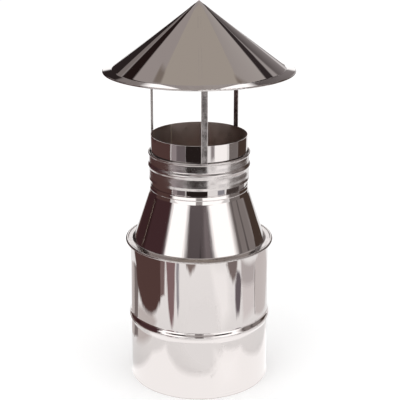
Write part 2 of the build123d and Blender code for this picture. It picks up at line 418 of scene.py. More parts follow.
@dataclass(frozen=True)
class RolledStrip(Finish):
    """Cold-rolled stainless strip, sheared to width and left as it came from the mill.

    To the eye it is a mottled grey, with small dull spots where the welding electrodes pressed.
    Its two edges are painted lighter, a painted highlight for the light that the sheared edges
    catch.
    """

    azimuth: float
    width_mm: float = 10.0
    dark: str = "#615B5A"
    light: str = "#C2BBB9"
    tone_stops: Pair = (0.42, 0.62)
    # Painted highlight: the colour that the strip's edges are painted, for light caught by the
    # sheared edges, over the given share of the half width.
    edge: str = "#E2DCD9"
    highlight_shares: Pair = (0.64, 0.94)
    cloud_mm: float = 9.0
    fleck_mm: float = 1.6
    fleck_height_mm: float = 0.006
    roughness: Pair = (0.26, 0.46)
    spots_mm: tuple[Point, ...] = ()
    spot_radii_mm: Pair = (1.2, 2.4)
    spot_depth_mm: float = 0.12

    def shader(self, tree: Tree, place: Socket) -> bpy.types.Node:
        """Draws the strip; its edges lie to both sides of its azimuth.

        Args:
            tree: The material's tree.
            place: The piece's own coordinates.

        Returns:
            The shader.
        """
        cloud = add_node(tree, "TexNoise", {"Vector": place},
                         {"Scale": 1 / (self.cloud_mm * MM), "Detail": 5.0,
                          "Roughness": 0.65}).outputs[0]
        fleck = add_node(tree, "TexNoise", {"Vector": place},
                         {"Scale": 1 / (self.fleck_mm * MM), "Detail": 3.0}).outputs[0]
        both = add_node(tree, "Math", {0: cloud, 1: fleck}, operation="ADD").outputs[0]
        mean = add_node(tree, "Math", {0: both}, {1: 0.5}, operation="MULTIPLY").outputs[0]
        grey = add_node(tree, "ValToRGB", {0: mean})
        tones = zip(grey.color_ramp.elements, self.tone_stops, (self.dark, self.light))
        for stop, position, tone in tones:
            stop.position, stop.color = position, linear(tone)
        side = math.radians(self.azimuth)
        across = add_node(tree, "VectorMath", {0: place},
                          {1: (math.cos(side), math.sin(side), 0.0)},
                          operation="DOT_PRODUCT").outputs["Value"]
        off = add_node(tree, "Math", {0: across}, operation="ABSOLUTE").outputs[0]
        half = self.width_mm / 2 * MM
        # The strip is painted lighter towards both edges: a painted highlight.
        edge = add_node(tree, "MapRange", {"Value": off},
                        {"From Min": half * self.highlight_shares[0],
                         "From Max": half * self.highlight_shares[1]}).outputs[0]
        colour = add_node(tree, "Mix", {0: edge, COLOUR_A: grey.outputs[0]},
                          {COLOUR_B: linear(self.edge)}, data_type="RGBA").outputs[COLOUR_OUT]
        pitted = add_node(tree, "Bump", {"Height": fleck},
                          {"Strength": 1.0, "Distance": self.fleck_height_mm * MM}).outputs[0]
        pressed = add_node(tree, "Bump",
                           {"Height": self.electrode_marks(tree, place), "Normal": pitted},
                           {"Strength": 1.0, "Distance": self.spot_depth_mm * MM}).outputs[0]
        rough = in_patches(tree, cloud, self.roughness)
        return add_node(tree, "BsdfPrincipled",
                        {"Base Color": colour, "Roughness": rough, "Normal": pressed},
                        {"Metallic": 1.0})

    def electrode_marks(self, tree: Tree, place: Socket) -> Socket:
        """Draws a shallow round dimple at each spot weld.

        Args:
            tree: The material's tree.
            place: The piece's own coordinates.

        Returns:
            The height of the surface, 1 outside the dimples.
        """
        height = add_node(tree, "Math", None, {0: 1.0, 1: 1.0}, operation="MULTIPLY").outputs[0]
        for x, y, z in self.spots_mm:
            far = add_node(tree, "VectorMath", {0: place}, {1: (x * MM, y * MM, z * MM)},
                           operation="DISTANCE").outputs["Value"]
            bowl = add_node(tree, "MapRange", {"Value": far},
                            {"From Min": self.spot_radii_mm[0] * MM,
                             "From Max": self.spot_radii_mm[1] * MM},
                            interpolation_type="SMOOTHSTEP").outputs[0]
            height = add_node(tree, "Math", {0: height, 1: bowl}, operation="MULTIPLY").outputs[0]
        return height


@dataclass(frozen=True)
class WeldMetal(Finish):
    """A TIG weld without filler, brushed once after cooling.

    To the eye it is a satin line with fine ripples across it, and it keeps a breath of the
    straw colour that heat gives stainless steel.
    """

    colour: str = "#C9C1BB"
    tint: str = "#B5A58C"
    heat_mm: float = 14.0
    ripple_mm: float = 1.1
    ripple_height_mm: float = 0.03
    wander_mm: float = 4.0
    wander_turn: float = 6.0
    roughness: Pair = (0.16, 0.30)

    def shader(self, tree: Tree, place: Socket) -> bpy.types.Node:
        """Draws the weld, its ripples one above the other.

        Args:
            tree: The material's tree.
            place: The piece's own coordinates.

        Returns:
            The shader.
        """
        run = add_node(tree, "VectorMath", {0: place}, {1: (0.0, 0.0, 1.0)},
                       operation="DOT_PRODUCT").outputs["Value"]
        turns = add_node(tree, "Math", {0: run}, {1: math.tau / (self.ripple_mm * MM)},
                         operation="MULTIPLY").outputs[0]
        wander = add_node(tree, "TexNoise", {"Vector": place},
                          {"Scale": 1 / (self.wander_mm * MM), "Detail": 2.0}).outputs[0]
        shifted = add_node(tree, "Math", {0: wander, 2: turns}, {1: self.wander_turn},
                           operation="MULTIPLY_ADD").outputs[0]
        ripple = add_node(tree, "Math", {0: shifted}, operation="SINE").outputs[0]
        wavy = add_node(tree, "Bump", {"Height": ripple},
                        {"Strength": 1.0, "Distance": self.ripple_height_mm * MM}).outputs[0]
        heat = add_node(tree, "TexNoise", {"Vector": place},
                        {"Scale": 1 / (self.heat_mm * MM), "Detail": 1.0}).outputs[0]
        colour = add_node(tree, "Mix", {0: heat},
                          {COLOUR_A: linear(self.colour), COLOUR_B: linear(self.tint)},
                          data_type="RGBA").outputs[COLOUR_OUT]
        rough = in_patches(tree, wander, self.roughness)
        return add_node(tree, "BsdfPrincipled",
                        {"Base Color": colour, "Roughness": rough, "Normal": wavy},
                        {"Metallic": 1.0})


@dataclass(frozen=True)
class TurnedSteel(Finish):
    """Stainless steel A2 fastener, cold headed and its faces turned.

    To the eye it is satin grey, with fine tool rings round the axis and a slight patchiness
    from tumbling.
    """

    colour: str = "#BDB8B4"
    ring_mm: float = 0.35
    ring_height_mm: float = 0.004
    patch_mm: float = 2.5
    roughness: Pair = (0.18, 0.34)

    def shader(self, tree: Tree, place: Socket) -> bpy.types.Node:
        """Draws the turned metal; the piece's own Z axis is its turning axis.

        Args:
            tree: The material's tree.
            place: The piece's own coordinates.

        Returns:
            The shader.
        """
        turns = add_node(tree, "Math", {0: off_axis(tree, place)},
                         {1: math.tau / (self.ring_mm * MM)}, operation="MULTIPLY").outputs[0]
        rings = add_node(tree, "Math", {0: turns}, operation="SINE").outputs[0]
        cut = add_node(tree, "Bump", {"Height": rings},
                       {"Strength": 1.0, "Distance": self.ring_height_mm * MM}).outputs[0]
        patch = add_node(tree, "TexNoise", {"Vector": place},
                         {"Scale": 1 / (self.patch_mm * MM), "Detail": 3.0}).outputs[0]
        rough = in_patches(tree, patch, self.roughness)
        return add_node(tree, "BsdfPrincipled", {"Roughness": rough, "Normal": cut},
                        {"Base Color": linear(self.colour), "Metallic": 1.0})


@dataclass(frozen=True)
class MineralWool(Finish):
    """Stone wool, spun into fibres, bonded with resin and pressed into a batt.

    To the eye it is a matt olive brown felt with paler fibres in layers.
    """

    dark: str = "#7A6E48"
    light: str = "#B9AC82"
    tone_stops: Pair = (0.35, 0.68)
    layers: Point = (0.35, 0.35, 1.0)
    fibre_mm: float = 1.5
    fibre_height_mm: float = 0.5
    roughness: float = 0.95

    def shader(self, tree: Tree, place: Socket) -> bpy.types.Node:
        """Draws the wool, in layers that lie flat.

        Args:
            tree: The material's tree.
            place: The piece's own coordinates.

        Returns:
            The shader.
        """
        layered = add_node(tree, "VectorMath", {0: place}, {1: self.layers},
                           operation="MULTIPLY").outputs[0]
        # Fibres of some micrometres are drawn 0.5 mm wide, as the bundles that they form.
        fibres = add_node(tree, "TexNoise", {"Vector": layered},
                          {"Scale": 1 / (self.fibre_mm * MM), "Detail": 6.0, "Roughness": 0.7,
                           "Distortion": 1.5}).outputs[0]
        colour = add_node(tree, "ValToRGB", {0: fibres})
        tones = zip(colour.color_ramp.elements, self.tone_stops, (self.dark, self.light))
        for stop, position, tone in tones:
            stop.position, stop.color = position, linear(tone)
        felt = add_node(tree, "Bump", {"Height": fibres},
                        {"Strength": 1.0, "Distance": self.fibre_height_mm * MM}).outputs[0]
        return add_node(tree, "BsdfPrincipled", {"Base Color": colour.outputs[0], "Normal": felt},
                        {"Roughness": self.roughness})


def only_in_steel(thing: bpy.types.Object) -> None:
    """Leaves an object to be seen only in reflections.

    Args:
        thing: The object.
    """
    thing.visible_camera = False
    thing.visible_diffuse = False
    thing.visible_shadow = False
    thing.visible_transmission = False
    thing.visible_volume_scatter = False


def cloth(name: str, colour: str, strength: float, low_colour: str = "") -> bpy.types.Material:
    """Makes the glow of a card or drape, which fades out towards its soft edges.

    Args:
        name: The material's name.
        colour: Its colour, or its colour at the top.
        strength: How bright it is.
        low_colour: Its colour at the bottom, where that differs.

    Returns:
        The material.
    """
    material = empty_material(name)
    tree = material.node_tree
    glow = add_node(tree, "Emission", None, {"Color": linear(colour), "Strength": strength})
    if low_colour:
        level = add_node(tree, "Attribute", attribute_name="height").outputs["Fac"]
        blend = add_node(tree, "Mix", {0: level},
                         {COLOUR_A: linear(low_colour), COLOUR_B: linear(colour)},
                         data_type="RGBA")
        tree.links.new(blend.outputs[COLOUR_OUT], glow.inputs["Color"])
    clear = add_node(tree, "BsdfTransparent")
    cover = add_node(tree, "Attribute", attribute_name="cover").outputs["Fac"]
    both = add_node(tree, "MixShader", {0: cover, 1: clear.outputs[0], 2: glow.outputs[0]})
    add_node(tree, "OutputMaterial", {"Surface": both.outputs[0]})
    material.cycles.emission_sampling = "NONE"
    return material


def point_values(mesh: bpy.types.Mesh, label: str, numbers: list[float]) -> None:
    """Stores one number at each point of a mesh, for its material to read."""
    mesh.attributes.new(label, "FLOAT", "POINT").data.foreach_set("value", numbers)


@dataclass(frozen=True)
class Card:
    """A softbox, flag or panel of the studio, seen only in the steel.

    It is a patch of a sphere, many times larger than the cap. Its azimuth is 0 towards the
    camera and grows towards +X; its elevation is 0 at the horizon.
    """

    name: str
    azimuth: Pair
    elevation: Pair
    colour: str
    strength: float = 1.0
    feather: float = 2.0
    top_azimuth: Pair | None = None
    low_colour: str = ""
    radius: float = 30.0
    centre_height: float = 0.25
    columns: int = 28
    rows: int = 16
    upright_feather: float = 1.5

    def build(self) -> None:
        """Makes the card's mesh and its glow."""
        bottom, top = self.azimuth, self.top_azimuth or self.azimuth
        low, high = self.elevation
        points, cover, height = [], [], []
        for row in range(self.rows + 1):
            v = row / self.rows
            start = bottom[0] + (top[0] - bottom[0]) * v
            width = bottom[1] + (top[1] - bottom[1]) * v - start
            elevation = math.radians(low + (high - low) * v)
            for column in range(self.columns + 1):
                u = column / self.columns
                points.append(round_axis(self.radius * math.cos(elevation),
                                         math.radians(start + width * u),
                                         self.centre_height + self.radius * math.sin(elevation)))
                cover.append(self.fade(min(u, 1 - u) * width, min(v, 1 - v) * (high - low)))
                height.append(v)
        card = link_mesh(self.name, points, grid_faces(self.columns, self.rows), smooth=False)
        point_values(card.data, "cover", cover)
        point_values(card.data, "height", height)
        card.data.materials.append(
            cloth(self.name + " cloth", self.colour, self.strength, self.low_colour))
        only_in_steel(card)

    def fade(self, sideways: float, upright: float) -> float:
        """Fades the card out towards its edges.

        Args:
            sideways: Degrees to the nearer side edge.
            upright: Degrees to the nearer of the lower and upper edges.

        Returns:
            1 where the card covers fully, 0 at its edges.
        """
        if not self.feather:
            return 1.0
        return (min(1.0, sideways / self.feather)
                * min(1.0, upright / min(self.feather, self.upright_feather)))


@dataclass(frozen=True)
class Drape:
    """A cloth lying on the table round the cap, seen only in the steel, glowing at a set level;
    the white ones near the foot are painted light over the cap's shade.
    """

    name: str
    corners_mm: tuple[Pair, ...]
    colour: str
    strength: float = 1.0
    feather_mm: float = 14.0
    lift_mm: float = 1.0
    sharpest: float = 0.4

    def build(self) -> None:
        """Makes the drape's mesh, which fades out across its outline."""
        corners = [Vector(corner) for corner in self.corners_mm]
        count = len(corners)
        outer, inner = [], []
        for i, corner in enumerate(corners):
            before = (corner - corners[i - 1]).normalized()
            after = (corners[(i + 1) % count] - corner).normalized()
            one, two = Vector((-before.y, before.x)), Vector((-after.y, after.x))
            # At a sharp corner the fade is kept short, or it would run far past the outline.
            inwards = (one + two) * self.feather_mm / 2 / max(self.sharpest, 1 + one.dot(two))
            outer.append(corner - inwards)
            inner.append(corner + inwards)
        points = [(p.x * MM, p.y * MM, self.lift_mm * MM) for p in outer + inner]
        faces = [(i, (i + 1) % count, count + (i + 1) % count, count + i) for i in range(count)]
        faces.append(tuple(range(count, 2 * count)))
        drape = link_mesh(self.name, points, faces, smooth=False)
        point_values(drape.data, "cover", [0.0] * count + [1.0] * count)
        drape.data.materials.append(cloth(self.name + " cloth", self.colour, self.strength))
        only_in_steel(drape)


@dataclass
class Studio:
    """The floor, the lamps, the world and what the steel reflects of the studio."""

    floor_half: float = 60.0
    floor_colour: str = "#FCFCFC"
    floor_lift: float = 0.13
    world_level: float = 0.93
    lamps: tuple[tuple[str, Point, float], ...] = (
        ("key_lamp", (-1.4, -1.8, 2.2), 12.0),
        ("fill_lamp", (1.8, -1.2, 1.6), 6.0),
    )
    lamp_side: float = 1.6
    lamp_aim: Point = (0.0, 0.0, 0.3)
    room: tuple[Card, ...] = (
        Card("room_walls", (-180, 180), (-2, 60), "#AFAAA9", 1.0, 0.0, radius=36.0),
        Card("room_ceiling", (-180, 180), (56, 90), "#B7B0A7", 1.0, 0.0, radius=35.0),
    )
    softboxes: tuple[Card, ...] = (
        Card("left_softbox", (-72, -6), (-2, 25), "#FFFFFF", 1.6, 1.5, radius=31.0),
        Card("right_softbox", (6, 74), (-2, 25), "#FFFFFF", 1.6, 1.5, radius=31.0),
        Card("rear_softbox", (174.3, 185.7), (-2, 27), "#FFFFFF", 1.25, 1.2, radius=28.0),
        Card("rear_high_softbox", (167, 192), (28, 37), "#FFFFFF", 1.6, 2.0, radius=27.0),
        Card("rear_left_sheet", (-176, -167), (-2, 12.5), "#FFFFFF", 1.3, 1.5, radius=26.5),
        Card("rear_right_sheet", (167, 176), (-2, 12.5), "#FFFFFF", 1.3, 1.5, radius=26.5),
        Card("right_edge_sheet", (158, 167), (-2, 8.5), "#D8D4D4", 1.0, 2.0, radius=26.5),
    )
    flags: tuple[Card, ...] = (
        Card("front_flag", (-33, 39), (11, 20.5), "#70686A", 1.0, 9.0, (-25, 19),
             low_colour="#544D4E"),
        Card("front_pale", (7, 33), (10.5, 19), "#8C8385", 1.0, 6.0, (6, 18),
             low_colour="#6E6668", radius=29.5),
        Card("front_slot", (0.0, 4.5), (8, 16.8), "#3E393A", 1.0, 1.6, radius=29.0),
        Card("left_flag", (-150, -58), (-3, 22), "#4B3336", 1.0, 7.0),
        Card("left_flag_fold", (-121, -105), (-3, 21), "#3A2526", 1.0, 5.0, radius=29.0),
        Card("left_rear_flag", (-174.5, -137), (-3, 23), "#2F2828", 1.0, 2.0, radius=29.0),
        Card("left_shelf", (-173, -122), (21, 29.5), "#8A8381", 1.0, 2.0, radius=28.5),
        Card("left_rafter", (-173, -118), (29, 42.5), "#271C1B", 1.0, 3.0),
        Card("left_upper", (-184, -90), (40, 64), "#ADA6A4", 1.0, 4.0, radius=32.0),
        Card("right_wall", (62, 122), (-3, 24), "#8F8886", 1.0, 12.0),
        Card("right_post", (73, 80), (-3, 24), "#736D6C", 1.0, 2.5, radius=29.0),
        Card("right_frame", (90, 96), (-3, 24), "#605A59", 1.0, 2.5, radius=29.0),
        Card("right_flag", (115, 148), (-3, 22), "#4D4039", 1.0, 4.0, radius=29.5),
        Card("right_shelf", (144, 174.5), (-3, 33), "#565050", 1.0, 2.0, low_colour="#A8A2A2"),
        Card("right_rafter", (116, 173), (32, 41.5), "#373031", 1.0, 3.0),
        Card("right_upper", (90, 186), (39, 64), "#AFA9A6", 1.0, 3.0, low_colour="#BBB6B3",
             radius=32.0),
        Card("left_hook", (-117, -109), (62, 68.5), "#8A8078", 1.0, 2.0, (-108, -102),
             radius=1.6),
        Card("right_hook", (107, 113), (60, 68.5), "#8A8078", 1.0, 2.0, (103, 107),
             radius=1.6),
        Card("rear_panel", (178.2, 181.8), (28, 37), "#4A4443", 1.0, 0.9, radius=26.0),
        Card("front_left_rafter", (-92, -20), (25, 38), "#3A3433", 1.0, 6.0),
        Card("front_right_rafter", (24, 92), (25, 38), "#3A3433", 1.0, 6.0),
    )
    drapes: tuple[Drape, ...] = (
        Drape("left_drape", ((-514, -367), (-465, -326), (-424, -274), (-385, -222),
                             (-363, -157), (-359, -95), (-368, -19), (-381, 52), (-405, 130),
                             (-428, 203), (-478, 275), (-500, 650), (-560, 1050),
                             (-8200, 46500), (-47000, 17000), (-46000, -19500),
                             (-1290, -505), (-900, -480)), "#5C4542", feather_mm=26.0),
        Drape("left_far_dark", ((-1446, 585), (-780, 1351), (-23000, 39800),
                                (-43600, 17600)), "#432C2E", feather_mm=60.0, lift_mm=1.3),
        Drape("left_hem", ((-228, 50), (-187, 90), (-292, 200), (-345, 250), (-440, 335),
                           (-500, 200), (-425, 160), (-310, 103)), "#857B79", feather_mm=14.0,
              lift_mm=0.8),
        Drape("left_edge", ((-140, 130), (-230, 290), (-330, 420), (-440, 335), (-345, 250),
                            (-292, 200), (-187, 90)), "#C6BEBC", feather_mm=14.0, lift_mm=0.6),
        Drape("left_near_grey", ((-205, 50), (-345, 120), (-372, 40), (-366, -110),
                                 (-320, -150), (-255, -60)), "#D2CBC9", feather_mm=34.0,
              lift_mm=0.5),
        Drape("left_gap", ((-405, -240), (-640, -330), (-640, -480), (-520, -395),
                           (-385, -292)), "#84706F", feather_mm=14.0, lift_mm=1.5),
        Drape("front_left_shade", ((-690, -502), (-1699, -1234), (-1082, -1800),
                                   (-440, -732)), "#776F72", feather_mm=60.0, lift_mm=0.8),
        Drape("right_far_sheet", ((714, -965), (1011, -1367), (1565, -664), (1105, -469)),
              "#FFFFFF", 1.35, feather_mm=60.0, lift_mm=0.8),
        Drape("left_runner", ((-213, -267), (-256, -281), (-343, -315), (-430, -363),
                              (-494, -399), (-620, -470), (-480, -660), (-383, -521),
                              (-311, -419), (-256, -344), (-229, -298)), "#8E7577",
              feather_mm=18.0),
        Drape("left_fold", ((-198, -340), (-261, -399), (-369, -532), (-420, -600),
                            (-370, -640), (-325, -563), (-235, -417)), "#A5A3A9",
              feather_mm=12.0),
        Drape("front_fold", ((-139, -592), (-218, -623), (-300, -760), (-80, -760),
                             (-50, -661)), "#8E807C", feather_mm=30.0),
        Drape("left_haze", ((-760, -440), (-1290, -530), (-3900, -2600), (-1120, -860),
                            (-720, -610)), "#A39A9D", feather_mm=60.0),
        Drape("front_gloss", ((212, -400), (190, -640), (417, -475), (376, -389), (300, -300),
                              (190, -300)), "#FFFFFF", 1.15, feather_mm=70.0),
        Drape("front_drape", ((-480, -740), (-512, -918), (-732, -1204), (-1300, -2300),
                              (700, -2300), (430, -1380), (333, -992), (290, -760)),
              "#2A2322", feather_mm=25.0, lift_mm=2.0),
        Drape("right_fold", ((556, -309), (487, -306), (431, -332), (431, -394), (432, -490),
                             (600, -560), (690, -350)), "#877B79", feather_mm=30.0),
        Drape("right_runner", ((528, -264), (500, -214), (430, -192), (348, -193), (315, -204),
                               (376, -264), (439, -299), (518, -301)), "#726A6F",
              lift_mm=2.0, feather_mm=22.0),
        Drape("right_mat", ((610, -262), (606, 60), (500, 35), (488, -202)), "#C6C0C0",
              feather_mm=36.0),
        Drape("right_near_mat", ((500, -206), (506, 38), (380, 10), (330, -130)), "#EAE5E5",
              feather_mm=40.0, lift_mm=0.8),
        Drape("right_back_mat", ((343, 30), (600, 78), (620, 500), (300, 420), (250, 200)),
              "#D9D3D2", feather_mm=20.0),
        Drape("right_hem", ((600, 66), (600, 82), (453, 50), (343, 30), (343, 16), (453, 32)),
              "#8A8080", feather_mm=5.0),
        Drape("right_strip", ((700, -745), (760, -800), (960, -560), (905, -500)), "#9C9CA4",
              feather_mm=50.0),
        Drape("right_near_dark", ((905, -450), (1180, -400), (1240, 300), (1000, 300),
                                  (960, -100)), "#4D4543", feather_mm=25.0),
        Drape("right_far_grey", ((1255, -392), (47000, -15000), (45000, 12500), (1262, 150)),
              "#837D7B", feather_mm=20.0),
        Drape("right_far_gap", ((760, 420), (980, 270), (1262, 100), (45000, 12000),
                                (45000, 13500), (1268, 700), (800, 1180)), "#8A8483",
              feather_mm=20.0, lift_mm=0.3),
        Drape("right_far_dark", ((1268, 250), (45000, 12900), (27000, 42000), (760, 1120)),
              "#4D4039", feather_mm=20.0),
        Drape("right_far_shade", ((790, 1200), (27000, 42500), (6500, 46500), (450, 2600)),
              "#8A8483", feather_mm=20.0),
        Drape("front_right_grey", ((620, -1200), (1050, -2300), (1450, -2100), (800, -1120)),
              "#A09A9B", feather_mm=60.0),
        # Painted light: white sheets glowing brighter than the lit table, laid where the cap's own
        # shade falls on the table, so the steel mirrors no shadow there.
        Drape("middle_painted_light", ((-120, -262), (-114, -450), (74, -480), (180, -400), (150, -240),
                               (41, -190)), "#FFFFFF", 1.0, feather_mm=40.0),
        Drape("near_painted_light", ((190, 150), (-60, 60), (-150, -35), (-205, -90), (-198, -185),
                             (-76, -181), (44, -191), (147, -231), (219, -136), (201, -89),
                             (186, -3)), "#FFFFFF", 1.2, feather_mm=24.0),
        Drape("near_glare", ((53, -126), (95, -235), (186, -139), (98, -112)), "#FFFFFF", 1.25,
              feather_mm=50.0, lift_mm=2.0),
    )

    def build(self) -> None:
        """Sets up the floor, world, lamps, cards and drapes."""
        self.floor()
        self.world()
        for name, place, watts in self.lamps:
            self.lamp(name, place, watts)
        for card in (*self.room, *self.softboxes, *self.flags):
            card.build()
        for drape in self.drapes:
            drape.build()
        log.info("studio has %d cards and %d drapes",
                 len(self.room + self.softboxes + self.flags), len(self.drapes))

    def floor(self) -> None:
        """Lays the plain pale floor."""
        half = self.floor_half
        floor = link_mesh("floor", [(-half, -half, 0), (half, -half, 0), (half, half, 0),
                                    (-half, half, 0)], [(0, 1, 2, 3)], smooth=False)
        material = empty_material("white laminate table top")
        tree = material.node_tree
        matt = add_node(tree, "BsdfPrincipled", None,
                        {"Base Color": linear(self.floor_colour), "Roughness": 0.9,
                         "Specular IOR Level": 0.0})
        # The eye sees the table a little lighter than it lights the steel, so that it is white.
        path = add_node(tree, "LightPath")
        lift = add_node(tree, "Math", {0: path.outputs["Is Camera Ray"]}, {1: self.floor_lift},
                        operation="MULTIPLY")
        glow = add_node(tree, "Emission", {"Strength": lift.outputs[0]})
        both = add_node(tree, "AddShader", {0: matt.outputs[0], 1: glow.outputs[0]})
        material.cycles.emission_sampling = "NONE"
        add_node(tree, "OutputMaterial", {"Surface": both.outputs[0]})
        floor.data.materials.append(material)

    def world(self) -> None:
        """Sets the white surround: full white to the eye and the steel, softer as light."""
        world = bpy.data.worlds.new("studio")
        world.use_nodes = True
        tree = world.node_tree
        tree.nodes.clear()
        path = add_node(tree, "LightPath")
        seen = add_node(tree, "Math", {0: path.outputs["Is Camera Ray"],
                                       1: path.outputs["Is Glossy Ray"]}, operation="MAXIMUM")
        seen = add_node(tree, "Math", {0: seen.outputs[0],
                                       1: path.outputs["Is Transmission Ray"]},
                        operation="MAXIMUM")
        level = add_node(tree, "MapRange", {"Value": seen.outputs[0]},
                         {"To Min": self.world_level, "To Max": 1.0})
        back = add_node(tree, "Background", {"Strength": level.outputs[0]},
                        {"Color": linear("#FFFFFF")})
        add_node(tree, "OutputWorld", {"Surface": back.outputs[0]})
        bpy.context.scene.world = world

    def lamp(self, name: str, place: Point, watts: float) -> None:
        """Hangs one square soft lamp, aimed at the cap and not mirrored by it.

        Args:
            name: The lamp's name.
            place: Its place in metres.
            watts: Its power.
        """
        data = bpy.data.lights.new(name, "AREA")
        data.size = self.lamp_side
        data.energy = watts
        lamp = bpy.data.objects.new(name, data)
        lamp.location = place
        aim = Vector(self.lamp_aim) - Vector(place)
        lamp.rotation_euler = aim.to_track_quat("-Z", "Y").to_euler()
        lamp.visible_glossy = False
        bpy.context.scene.collection.objects.link(lamp)


@dataclass
class View:
    """The photograph's camera."""

    place_mm: Point = (1.4, -1598.0, 824.0)
    down_deg: float = 15.80
    focal_px: float = 1062.0
    shift_y: float = -0.12375

    def build(self) -> None:
        """Makes the camera and sets it as the scene's."""
        data = bpy.data.cameras.new("camera")
        data.sensor_width = SENSOR_MM
        data.lens = self.focal_px / IMAGE_PIXELS * SENSOR_MM
        data.shift_y = self.shift_y
        data.clip_end = 100.0
        camera = bpy.data.objects.new("camera", data)
        camera.matrix_world = (Matrix.Translation([v * MM for v in self.place_mm])
                               @ Matrix.Rotation(math.radians(90 - self.down_deg), 4, "X"))
        bpy.context.scene.collection.objects.link(camera)
        bpy.context.scene.camera = camera


@dataclass(frozen=True)
class Seam:
    """A closing weld that has been planished: a low crowned strip along the sheet.

    Its line runs from low_mm to high_mm, each a radius and a height.
    """

    name: str
    node: str
    body: str
    azimuth: float
    low_mm: Pair
    high_mm: Pair
    width_mm: float
    crown_mm: float
    ripple_mm: float
    finish: Finish
    step_mm: float = 0.5
    columns: int = 12
    pitch_mm: float = 1.1
    chevron_mm: float = 0.6
    fade_mm: float = 2.0
    bury_mm: float = 0.03
    depth_mm: float = 0.12

    def build(self) -> None:
        """Makes the strip in place of the plain CAD bead."""
        low, high = Vector(self.low_mm), Vector(self.high_mm)
        run = high - low
        out = Vector((run.y, -run.x)).normalized()
        rows = round(run.length / self.step_mm)
        points = []
        for row in range(rows + 1):
            along = row / rows
            centre = low.lerp(high, along)
            fade = min(1.0, min(along, 1 - along) * run.length / self.fade_mm)
            for column in range(self.columns + 1):
                t = column / self.columns * 2 - 1
                phase_mm = along * run.length + t * t * self.chevron_mm
                ripple = self.ripple_mm * math.cos(math.tau * phase_mm / self.pitch_mm)
                crown = (1 - t * t) ** 2 * (self.crown_mm + ripple) * fade
                # The side edges lie half of bury_mm under the sheet's face, the two ends more.
                p = centre + out * (crown + (self.bury_mm if fade else 0.0) - self.bury_mm * 1.5)
                turn = math.radians(self.azimuth) + t * self.width_mm / 2 / centre.x
                x, y, z = round_axis(p.x, turn, p.y)
                points.append((x * MM, y * MM, z * MM))
        across = self.columns + 1
        faces = grid_faces(self.columns, rows)
        top = len(points)
        points += [self.buried(point, out) for point in points]
        faces += [tuple(top + i for i in reversed(face)) for face in faces]
        rim = [*range(across), *range(2 * across - 1, top, across),
               *range(top - 2, top - across - 1, -1), *range(top - 2 * across, 0, -across)]
        for i, here in enumerate(rim):
            there = rim[(i + 1) % len(rim)]
            faces.append((there, here, top + here, top + there))
        piece = link_mesh(self.name, points, faces)
        piece.data.materials.append(self.finish.build())
        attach(piece, self.body)
        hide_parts(self.node)
        log.info("made %s with %d faces", self.name, len(faces))

    def buried(self, point: Point, out: Vector) -> Point:
        """A point of the strip moved a little into the sheet.

        Args:
            point: The point in metres.
            out: The sheet's outward direction, as radius and height.

        Returns:
            The moved point.
        """
        radius = math.hypot(point[0], point[1])
        deep = self.depth_mm * MM
        scale = (radius - out.x * deep) / radius
        return point[0] * scale, point[1] * scale, point[2] - out.y * deep


@dataclass
class ShellPipe:
    """The outer pipe with its ring, and their welds."""

    sheet: PolishedSteel = PolishedSteel("polished stainless shell", "#DED8D6",
                                         line_mm=7.0, line_height_mm=0.11)
    ring: PolishedSteel = PolishedSteel("bright stainless ring", roughness=0.09,
                                        grain=Grain.AROUND)
    seam: Seam = Seam("shell_seam", "shell_weld", "terminal", 180.0, (110.0, 118.0),
                      (110.0, 221.6), 2.0, 0.10, 0.010,
                      WeldMetal("brushed TIG weld of the shell"))
    nuggets: WeldMetal = WeldMetal("spot weld nugget of the ring", ripple_mm=1.6)

    def build(self) -> None:
        """Dresses the shell and its ring, and makes the seam down the rear."""
        dress("outer_shell", self.sheet.build())
        dress("retaining_ring", self.ring.build())
        dress("ring_welds", self.nuggets.build())
        self.seam.build()


@dataclass
class ConeCover:
    """The cone between the shell and the neck."""

    sheet: PolishedSteel = PolishedSteel("polished stainless cone", grain=Grain.RADIAL,
                                         line_mm=7.0, line_height_mm=0.07,
                                         dull_outside_mm=105.6)
    seam: Seam = Seam("cone_seam", "cone_weld", "terminal", -59.0, (103.54, 233.24),
                      (79.36, 304.96), 2.8, 0.10, 0.002,
                      WeldMetal("brushed TIG weld of the cone", roughness=(0.34, 0.5)))

    def build(self) -> None:
        """Dresses the cone and makes its seam."""
        dress("cone_cover", self.sheet.build())
        self.seam.build()


@dataclass
class FlueLiner:
    """The flue pipe, bright outside and mill matt in its bore."""

    sheet: PolishedSteel = PolishedSteel("bright stainless liner", line_mm=7.0,
                                         line_height_mm=0.09, dull_inside_mm=75.4)
    # Painted highlight: the liner's weld is painted much lighter than the other welds, for the
    # light line that it shows in the bore.
    weld: WeldMetal = WeldMetal("TIG weld of the liner with painted highlight", "#EDE6E0", "#D8CBB6",
                                roughness=(0.36, 0.5))

    def build(self) -> None:
        """Dresses the liner and its weld."""
        dress("flue_liner", self.sheet.build())
        dress("liner_weld", self.weld.build())


